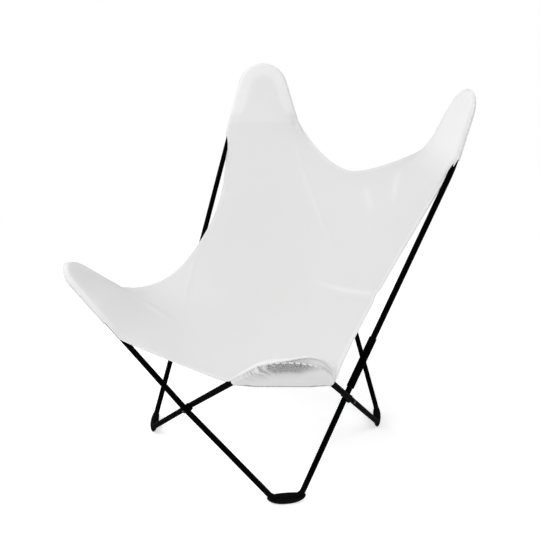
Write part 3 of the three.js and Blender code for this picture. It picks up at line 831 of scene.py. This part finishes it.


# Soft folds, each from one (u, v) to another: height towards the sitter, half width, how much paler its crest
# is painted, a painted highlight
folds = [
    dict(start=(0.96, 0.80), end=(0.76, 0.955), height=-0.0045, width=0.020, crestLight=0),
    dict(start=(0.82, 0.79), end=(0.715, 0.955), height=0.0040, width=0.018, crestLight=0.40),
    dict(start=(0.735, 0.785), end=(0.59, 0.935), height=0.0030, width=0.018, crestLight=0.35),
    dict(start=(0.233, 0.985), end=(0.64, 0.68), height=0.0022, width=0.012, crestLight=0.25),
    dict(start=(-0.05, 0.49), end=(0.26, 0.235), height=0.0020, width=0.012, crestLight=0),
    dict(start=(0.60, 0.580), end=(1.20, 0.445), height=0.0060, width=0.014, crestLight=0.55),
    dict(start=(0.06, 0.178), end=(0.29, 0.202), height=0.0025, width=0.012, crestLight=0),
]


def foldShape(line, width):  # one along the middle of a fold, fading to its sides and ends
    v, u = np.indices((rows + 1, columns + 1)) / np.array([rows, columns])[:, None, None]
    start, run = np.array(line["start"]), np.subtract(line["end"], line["start"])
    near = np.clip(((u - start[0]) * run[0] + (v - start[1]) * run[1]) / np.dot(run, run), 0, 1)
    away = np.hypot(u - start[0] - near * run[0], v - start[1] - near * run[1])
    return bell(away, 0, width) * np.sin(np.pi * near)


def foldedNet(net):
    height = sum(line["height"] * foldShape(line, line["width"]) for line in folds)
    normals = unit(np.cross(np.gradient(net, axis=1), np.gradient(net, axis=0)))
    return net + normals * height[..., None]


smoothNet, outline, outDirections = slingNet()
net = foldedNet(smoothNet)
isHeld = outline.holder >= 0
heldIndex = outline.row[isHeld], outline.column[isHeld]
net[heldIndex] = smoothNet[heldIndex]
edgeShift = (net - smoothNet)[outline.index]
rim = outline.rim + edgeShift
print("sling hung:", net.shape[0], "by", net.shape[1], "points")

# How pale the cloth is painted where a pocket's second layer lies behind it, a painted stand-in for light
# that one layer lets through, and on the turned-in band by the rod, a painted highlight where the cloth
# curves over it
paintedPale = dict(pale=0.22, band=0.75, bandInner=0.018, bandOuter=0.040, bandFade=0.75, reach=1.1, edge=0.002,
               litWingEdge=0.060, rodPoints=90)
litWings = {(False, right): 0.85, (True, left): 0.60}  # wings painted paler, a painted highlight with a soft edge


def paintedPaleShare(points):
    share = np.zeros(len(points))
    for corner, hoop in hoops.items():
        tip, reach = hoop.at(0), hoop.depth * paintedPale["reach"]
        axis = unit(hoop.middle - tip)
        mouth = np.dot(hoop.middle - tip, axis)
        blur = paintedPale["litWingEdge" if corner in litWings else "edge"]
        near = 1 - smoothStep(reach, reach + blur, np.linalg.norm(points - hoop.middle, axis=1))
        inside = near * (1 - smoothStep(mouth - blur, mouth + blur, (points - tip) @ axis))
        rod = np.linspace(-hoop.depth, hoop.depth, paintedPale["rodPoints"])
        apart = np.linalg.norm(points[:, None] - hoop.at(rod), axis=2)
        fade = 1 - smoothStep(paintedPale["bandFade"], 1, np.abs(rod[apart.argmin(axis=1)]) / hoop.depth)
        band = fade * (1 - smoothStep(paintedPale["bandInner"], paintedPale["bandOuter"], apart.min(axis=1)))
        pale = litWings.get(corner, paintedPale["pale"]) * inside
        share = np.maximum(share, np.maximum(pale, paintedPale["band"] * band))
    return share


def addCloth(name, shape, replaced, thickness, weld=0.0):
    points, faces = np.array(shape.points), np.array(shape.faces)
    diagonals = points[faces[:, 2]] - points[faces[:, 0]], points[faces[:, 3]] - points[faces[:, 1]]
    area = float(np.linalg.norm(np.cross(*diagonals), axis=1).sum() / 2)
    piece = addPiece(name, shape, "canvas", replaced=replaced, weld=weld, sharp=180)
    modify(piece, ("SOLIDIFY", dict(thickness=thickness, offset=0)))
    return piece, area


def addSling():
    across = np.array([runLengths(line) for line in net])
    along = np.stack([runLengths(net[:, i]) for i in range(columns + 1)], axis=1)
    weave = np.stack([across - across[:, columns // 2, None], along], axis=-1)
    # fold crests painted paler, a painted highlight
    crestLight = sum(line["crestLight"] * foldShape(line, line["width"] / 2) for line in folds).ravel()
    layers = np.maximum(paintedPaleShare(net.reshape(-1, 3)), crestLight)
    shape = Shape(net, gridFaces(rows + 1, columns + 1), weave, layers=layers)
    ring = outline.row * (columns + 1) + outline.column
    outSign = np.stack([outline.outColumn, outline.outRow], axis=-1)
    for step in range(1, sling["borderSteps"] + 1):
        share = step / sling["borderSteps"]
        points = outline.strip(outDirections, share) + edgeShift
        laid = weave[outline.index] + outSign * sling["border"] * share
        nextRing = shape.add(points, [], laid, layers=paintedPaleShare(points)) + np.arange(len(ring))
        shape.faces += list(zip(ring, np.roll(ring, -1), np.roll(nextRing, -1), nextRing))
        ring = nextRing
    flat = tuple(float(run.max()) + 2 * sling["border"] for run in (across[:, -1], along[-1]))
    panels = ["sling_seat_panel", "sling_back_panel"]
    return flat, *addCloth("sling_canvas", shape, panels, sling["thickness"])


pockets = dict(rows=180, wrapSteps=10, wrapStart=100, spanSteps=24, thickness=0.0012, sag=0.005,
               looseSag=0.012, fullness=0.042, mouthFlat=0.75, mouthStart=0.45, rodPoints=240, rootShare=0.15,
               layers=0.3, loosePaintedLight=0.8, turnedIn=0.03, weld=1e-5)
gathers = dict(looseHeight=0.0022, otherHeight=0.0003, place=0.070, length=0.055, pitch=0.015, jitter=0.9,
               jitterRun=6, start=0.016, reach=0.013, turnStart=112, turnEnd=150)
# Painted shade on the loose pocket: grey along the rod under its rim, deeper in the gather grooves and on the
# flange's underside
paintedShade = dict(place=-0.004, length=0.044, away=0.013, reach=0.0085, grooves=0.9, root=0.8, fade=1.5)
# Widths and thicknesses are those of the free edge, of the rim and of the loose rim
hems = dict(width=(0.012, 0.005, 0.0105), thickness=(0.0028, 0.0019, 0.0034), overhang=0.0012, sides=14,
            taper=0.4, edgePower=0.55, crownPower=0.75, girth=0.025, seamInset=0.0028, seamLift=0.74,
            roll=0.0046, rollEnds=0.4, rollPower=0.4, layers=0.2, easing=4, fading=8, mouthWidth=0.011,
            mouthThickness=0.0028, mouthPaintedLight=0.4, mouthEnds=0.05, endWidth=0.2, endThickness=0.5,
            seamBed=0.35)


def hungOut(hoop, points, level):  # how far a pocket's back layer hangs out behind its hoop, and its painted shade
    rod = np.linspace(-hoop.depth, hoop.depth, pockets["rodPoints"])
    apart = np.linalg.norm(points[..., None, :] - hoop.at(rod), axis=-1)
    place, away = rod[apart.argmin(axis=-1)], apart.min(axis=-1)
    sag = pockets["looseSag" if hoop.isLoose else "sag"] * smoothStep(clothOffset, pockets["fullness"], away)
    sag = sag * (1 - pockets["mouthFlat"] * smoothStep(pockets["mouthStart"], 1, level))
    runs = rng.uniform(-1, 1, len(rod) // gathers["jitterRun"]).repeat(gathers["jitterRun"])
    turns = np.cumsum(1 + gathers["jitter"] * runs) * (rod[1] - rod[0]) / gathers["pitch"]
    phase = np.interp(place, rod, 2 * np.pi * turns)
    gathered = bell(place, gathers["place"], gathers["length"])
    height = gathers["otherHeight"] + gathers["looseHeight"] * gathered * hoop.isLoose
    gather = height * (1 + np.sin(phase)) * bell(away, gathers["start"], gathers["reach"])
    # painted shade: grey along the rod under the rim, deeper in the gather grooves
    rub = bell(place, paintedShade["place"], paintedShade["length"], 4)
    rub += paintedShade["grooves"] * gathered * ((1 - np.sin(phase)) / 2) ** 2
    rub[:, :2] = (rub * (1 - hoop.slack(place)) ** paintedShade["fade"])[:, 2:3]  # painted shade on the underside of the flange
    rub[:, 2:] *= bell(np.maximum(away[:, 2:], paintedShade["away"]), paintedShade["away"], paintedShade["reach"])
    rub[:, 2] = np.maximum(rub[:, 2], paintedShade["root"] * hoop.slack(place[:, 2]))
    return sag, gather, hoop.isLoose * np.minimum(rub, 1)


def pocketGrid(hoop):  # rows of points from the rim round the rod and across the back to the middle line
    places = np.linspace(-1, 1, pockets["rows"] + 1)
    mouths = [min(hoop.depth, hoop.reach[leg]) for leg in (-1, 1)]
    distances = places * np.where(places < 0, *mouths)
    share = np.arange(1, pockets["spanSteps"] + 1) / pockets["spanSteps"]
    turns = np.linspace(pockets["wrapStart"], 180, pockets["wrapSteps"] + 1)
    made = []
    for distance, opposite in zip(distances, distances[::-1]):
        wrap = hoop.clothAt(np.full(len(turns), distance), turns)
        start = hoop.borderAt(distance, 1) - hoop.outward(distance) * hems["overhang"]
        middle = (hoop.clothAt(opposite, 180) + hoop.clothAt(distance, 180)) / 2
        root = wrap[0] + (start - wrap[0]) * pockets["rootShare"]
        made.append(np.concatenate([[start, root], wrap, wrap[-1] + (middle - wrap[-1]) * share[:, None]]))
    grid = np.array(made)
    sag, gather, rub = hungOut(hoop, grid, np.abs(places[:, None]))
    gather[:, -len(share):] *= 1 - share ** 2
    gather[:, 2:len(turns) + 2] *= smoothStep(gathers["turnStart"], gathers["turnEnd"], turns)
    gather[:, :2] = sag[:, :2] = 0
    reaches = np.array([runLengths(run) for run in grid])
    weave = np.stack(np.broadcast_arrays(distances[:, None], reaches), axis=-1)
    return grid - hoop.facing * (sag + gather)[..., None], weave, rub


def addPocket(corner):
    hoop = hoops[corner]
    grid, weave, rub = pocketGrid(hoop)
    # pocket cloth painted paler, the loose one most, a painted highlight
    layers = pockets["loosePaintedLight" if hoop.isLoose else "layers"]
    shape = Shape(grid, gridFaces(*grid.shape[:2]), weave, layers=layers, rub=rub.ravel())
    name = f"{endWord[corner[0]]}_{sideWord[corner[1]]}_pocket"
    piece, area = addCloth(f"{name}_canvas", shape, [name], pockets["thickness"], pockets["weld"])
    mouth = np.concatenate([grid[0], grid[-1][::-1][1:]])
    inner = np.concatenate([grid[1], grid[-2][::-1][1:]])
    flat = float(runLengths(mouth)[-1]), hoop.depth + pockets["turnedIn"]
    return dict(piece=piece, hoop=hoop, grid=grid, mouth=mouth, inner=inner, area=area, flat=flat)


# Hems and stitches

fineSeam = dict(pitch=0.0046, length=0.0031, width=0.0010, height=0.0007, uneven=0.10)
boldSeam = dict(pitch=0.0130, length=0.0095, width=0.0032, height=0.0034, uneven=0.35)
stitch = dict(girths=(0.35, 0.85, 1.0, 0.85, 0.35), sides=6, tangentReach=0.001)


def rounded(values, power):  # swells a circle's cosine or sine towards a box
    return np.sign(values) * np.abs(values) ** power


def hemBand(points, inward, normal, width, thickness, closed):  # a flattened roll of cloth along an edge
    angles, sides = roundAngles(hems["sides"]), hems["sides"]
    across = rounded(np.cos(angles), hems["edgePower"])
    up = rounded(np.sin(angles), hems["crownPower"]) * (1 - hems["taper"] * (across + 1) / 2)
    centre = points + inward * (width / 2 - hems["overhang"])[:, None]
    rings = (centre[:, None] + inward[:, None] * (width[:, None] / 2 * across)[..., None]
             + normal[:, None] * (thickness[:, None] / 2 * up)[..., None])
    girths = angles * hems["girth"] / (2 * np.pi)
    weave = np.stack(np.broadcast_arrays(runLengths(points)[:, None], girths), axis=-1)
    faces = gridFaces(len(points), sides, True, True) if closed else cappedFaces(len(points), sides)
    return rings, faces, weave


def addStitches(shape, points, normal, seam):
    runs, reach = runLengths(points), stitch["tangentReach"]
    marks = np.arange(seam["pitch"], runs[-1] - seam["pitch"], seam["pitch"])
    middle, up = pointsAt(runs, points, marks), unit(pointsAt(runs, normal, marks))
    ahead = unit(pointsAt(runs, points, marks + reach) - pointsAt(runs, points, marks - reach))
    beside = np.cross(up, ahead)
    girth, around = np.array(stitch["girths"])[:, None, None], stitch["sides"]
    bands = np.linspace(-1, 1, len(girth))[:, None, None]
    faces = cappedFaces(len(girth), around)
    lengths = seam["length"] * (1 + seam["uneven"] * rng.uniform(-1, 1, len(marks)))
    for i in range(len(marks)):
        ring = circle(beside[i] * seam["width"] / 2, up[i] * seam["height"] / 2, around)
        shape.add(middle[i] + bands * lengths[i] / 2 * ahead[i] + girth * ring, faces)


def addEdgeHem(hem, thread):  # once round the sling, narrow on the hoops and wide on the loose rim
    order = np.roll(np.arange(len(rim)), -np.argmax(~isHeld))
    held, points = isHeld[order], rim[order]
    inner = (outline.strip(outDirections, 1 - 2 / sling["borderSteps"]) + edgeShift)[order]
    tangent = unit(np.roll(points, -1, 0) - np.roll(points, 1, 0))
    inward = unit(eased(unit(inner - points), hems["easing"]))
    normal = unit(eased(unit(np.cross(tangent, inward)), hems["easing"]))
    onLoose = (outline.holder == corners.index(loosePocket))[order]
    slack = hoops[loosePocket].slack(outline.distance[order]) * onLoose
    rimShare, looseShare = eased(held * 1.0, hems["fading"]), eased(slack, hems["fading"])
    width, thickness = (free + (atRim - free) * rimShare + (wide - atRim) * looseShare
                        for free, atRim, wide in (hems["width"], hems["thickness"]))
    # hems painted paler, fully along the rims, a painted highlight
    layers = np.repeat(upFrom(hems["layers"], rimShare), hems["sides"])
    hem.add(*hemBand(points, inward, normal, width, thickness, True), layers=layers)
    rolled = np.flatnonzero(onLoose)
    swell = np.sin(np.linspace(0, np.pi, len(rolled))) ** hems["rollPower"]
    girth = hems["roll"] * upFrom(hems["rollEnds"], swell)
    # the loose rim's roll is painted fully pale, a painted highlight
    hem.add(*hemBand(points[rolled], inward[rolled], normal[rolled], girth, girth, False), layers=1)
    seam = points + inward * (width - hems["overhang"] - hems["seamInset"])[:, None]
    lift = normal * (thickness * hems["seamLift"] / 2)[:, None]
    changes = np.flatnonzero(np.diff(held * 1)) + 1
    for part in np.split(np.arange(len(points)), changes):
        addStitches(thread, (seam + lift)[part], normal[part], fineSeam)
        addStitches(thread, (seam - lift)[part], -normal[part], fineSeam)


def addPocketHem(hem, thread, pocket):  # bold stitches round the rod, and a hem along the pocket's mouth
    wrap, behind, mouth = pocket["grid"][:, 2:5], -pocket["hoop"].facing, pocket["mouth"]
    out = turnedTo(behind, unit(np.cross(np.gradient(wrap[:, 1], axis=0), wrap[:, 2] - wrap[:, 0])))
    addStitches(thread, wrap[:, 0] + out * boldSeam["height"] / 3, out, boldSeam)
    along = unit(np.gradient(mouth, axis=0))
    towardsTip = squareTo(along, pocket["inner"] - mouth)
    out = unit(np.cross(along, towardsTip))
    out = out * np.sign(np.dot(out[len(out) // 2], behind))
    runs = runLengths(mouth)
    ends = smoothStep(0, hems["mouthEnds"], np.minimum(runs, runs[-1] - runs))
    wide = hems["mouthWidth"] * upFrom(hems["endWidth"], ends)
    thick = hems["mouthThickness"] * upFrom(hems["endThickness"], ends)
    # the mouth hem is painted paler, a painted highlight, and on the loose pocket it is speckled with painted
    # shade
    hem.add(*hemBand(mouth, towardsTip, out, wide, thick, False), layers=hems["mouthPaintedLight"],
            rub=pocket["hoop"].isLoose)
    seam = mouth + towardsTip * (hems["mouthWidth"] - hems["overhang"] - hems["seamInset"])
    addStitches(thread, seam + out * hems["mouthThickness"] * hems["seamBed"], out, fineSeam)


def addHems(made):
    hem, thread = Shape(), Shape()
    addEdgeHem(hem, thread)
    for pocket in made:
        addPocketHem(hem, thread, pocket)
    hemPiece = addPiece("sling_hem", hem, "canvas", sharp=60)
    return hemPiece, addPiece("sling_stitching", thread, "canvas", finish="sewing_thread", sharp=180)


slingFlat, slingPiece, slingArea = addSling()
print("sling sewn, flat", np.round(slingFlat, 3), "area", round(slingArea, 3))
madePockets = [addPocket(corner) for corner in corners]
sewn = addHems(madePockets)
hoopBars = [hoops[corner].bar for corner in corners]
for pocket, bar in zip(madePockets, hoopBars):
    print("pocket sewn, flat", np.round(pocket["flat"], 3), "area", round(pocket["area"], 3))
print("hems and stitches sewn")


# Stage

stage = dict(floor=(0.93, 0.93, 0.93, 1), glow=0.48, fill=0.25, half=30.0, nearFloor=0.7, farFloor=2.2)
lamps = [
    dict(name="left_softbox", place=(-2.6, -1.0, 1.9), size=2.2, watts=28),
    dict(name="top_softbox", place=(0.3, -0.6, 3.0), size=2.6, watts=14),
    dict(name="front_softbox", place=(-0.6, -2.2, 3.2), size=2.4, watts=56),
    dict(name="back_softbox", place=(2.6, 1.2, 2.2), size=2.2, watts=35),
    dict(name="right_card", place=(2.0, -1.7, 0.5), size=1.2, watts=6),
]


def addFloor():  # keeps the chair's shadow near it, and turns plain white further off
    half = stage["half"]
    mesh = bpy.data.meshes.new("floor")
    square = [(-half, -half, 0), (half, -half, 0), (half, half, 0), (-half, half, 0)]
    mesh.from_pydata(square, [], [(0, 1, 2, 3)])
    look = Finish(bpy.data.materials.new("floor_white"))
    look.set(Base_Color=stage["floor"], Roughness=0.9)
    plain = Wire(look, look.shader.outputs[0])
    glow, bright = look.whites("ShaderNodeEmission", stage["glow"], 1.0)
    near = look.wire("ShaderNodeAddShader", 0, {0: plain, 1: glow})
    away = look.wire("ShaderNodeVectorMath", "Value", {0: look.place()}, operation="LENGTH")
    far = ((away - stage["nearFloor"]) / (stage["farFloor"] - stage["nearFloor"])).clamped()
    shown = look.mixed(far * far * (3 - 2 * far), near, bright)
    look.show("Material Output", look.mixed(look.seen(), plain, shown))
    mesh.materials.append(look.holder)
    newObject("floor", mesh)


def addWorld():
    look = Finish(bpy.data.worlds.new("studio"))
    fill, bright = look.whites("ShaderNodeBackground", stage["fill"], 1.0)
    look.show("World Output", look.mixed(look.seen(), fill, bright))
    scene.world = look.holder


def addLamps():
    middle = Vector((cadBox[0] + cadBox[1]) / 2)
    for lamp in lamps:
        data = bpy.data.lights.new(lamp["name"], "AREA")
        data.size, data.energy = lamp["size"], lamp["watts"]
        holder = newObject(lamp["name"], data)
        holder.location = lamp["place"]
        holder.rotation_euler = (Vector(lamp["place"]) - middle).to_track_quat("Z", "Y").to_euler()


addFloor()
addWorld()
addLamps()
print("stage lit")
